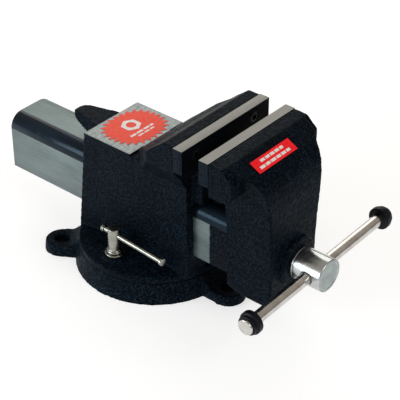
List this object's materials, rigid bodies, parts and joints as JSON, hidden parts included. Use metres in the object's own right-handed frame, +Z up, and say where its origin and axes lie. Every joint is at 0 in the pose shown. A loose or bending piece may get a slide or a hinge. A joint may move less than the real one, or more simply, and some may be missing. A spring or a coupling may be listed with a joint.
{
  "type": "bench vise",
  "caption": "Swivel-base bench vise with screw-driven sliding jaw, rear anvil and horn, and a sliding tommy bar, for holding work on a bench.",
  "frame": {"origin": "on the bench surface, under the swivel axis of the base", "axes": "+X along the slide from the anvil towards the handle, +Z up"},
  "size_m": [0.4585, 0.2598, 0.2273],
  "materials": {
    "black_paint": "crinkled semi-gloss black paint",
    "ground_steel": "ground steel",
    "turned_steel": "turned and polished steel",
    "satin_chrome": "satin chrome",
    "zinc": "bright zinc plate",
    "black_oxide": "black oxide",
    "spring_steel": "oiled spring steel",
    "nut_bronze": "machined bronze",
    "black_rubber": "moulded rubber",
    "red_label": "printed film"
  },
  "bodies": {
    "base": {"swivel_base": "black_paint"},
    "fixed_body": {"fixed_body": "black_paint", "fixed_jaw_plate": "ground_steel", "fixed_plate_screws": "black_oxide", "lead_nut": "nut_bronze", "lead_nut_screws": "black_oxide", "pivot_bolt": "black_oxide", "pivot_washer": "zinc", "lock_t_bolts": "zinc", "lock_washers": "zinc", "anvil_badge": "red_label"},
    "moving_jaw": {"slide_channel": "ground_steel", "moving_jaw": "black_paint", "moving_jaw_plate": "ground_steel", "moving_plate_screws": "black_oxide", "jaw_label": "red_label"},
    "spindle": {"spindle_screw": "turned_steel", "thrust_washer": "turned_steel", "spring_washers": "turned_steel", "takeup_spring": "spring_steel", "split_pin": "zinc"},
    "tommy_bar": {"tommy_bar": "satin_chrome", "bar_rings": "black_rubber"},
    "near_lock_nut": {"near_lock_nut": "zinc"},
    "near_lock_bar": {"near_lock_bar": "zinc"},
    "far_lock_nut": {"far_lock_nut": "zinc"},
    "far_lock_bar": {"far_lock_bar": "zinc"}
  },
  "joints": [
    {"name": "swivel", "type": "hinge", "parent": "base", "child": "fixed_body", "pos_m": [0, 0, 0], "axis": [0, 0, 1], "continuous": true},
    {"name": "jaw_slide", "type": "slide", "parent": "fixed_body", "child": "moving_jaw", "axis": [1, 0, 0], "range_m": [-0.0228, 0.13]},
    {"name": "spindle_turn", "type": "hinge", "parent": "moving_jaw", "child": "spindle", "pos_m": [0, 0, 0.092], "axis": [1, 0, 0], "range_deg": [-1380, 7812]},
    {"name": "tommy_bar_slide", "type": "slide", "parent": "spindle", "child": "tommy_bar", "axis": [0, 0.9998, 0.0218], "range_m": [-0.097, 0.087]},
    {"name": "near_lock_turn", "type": "hinge", "parent": "fixed_body", "child": "near_lock_nut", "pos_m": [-0.0029, -0.06924, 0.068], "axis": [0, 0, 1], "range_deg": [-15, 12]},
    {"name": "near_lock_bar_slide", "type": "slide", "parent": "near_lock_nut", "child": "near_lock_bar", "axis": [0.9979, -0.0645, 0], "range_m": [-0.018, 0.004]},
    {"name": "far_lock_turn", "type": "hinge", "parent": "fixed_body", "child": "far_lock_nut", "pos_m": [-0.0029, 0.06924, 0.068], "axis": [0, 0, 1], "range_deg": [-12, 15]},
    {"name": "far_lock_bar_slide", "type": "slide", "parent": "far_lock_nut", "child": "far_lock_bar", "axis": [0.9979, 0.0645, 0], "range_m": [-0.018, 0.004]}
  ],
  "couplings": [
    {"joint": "spindle_turn", "follows": "jaw_slide", "rad_per_m": 1047.2}
  ]
}
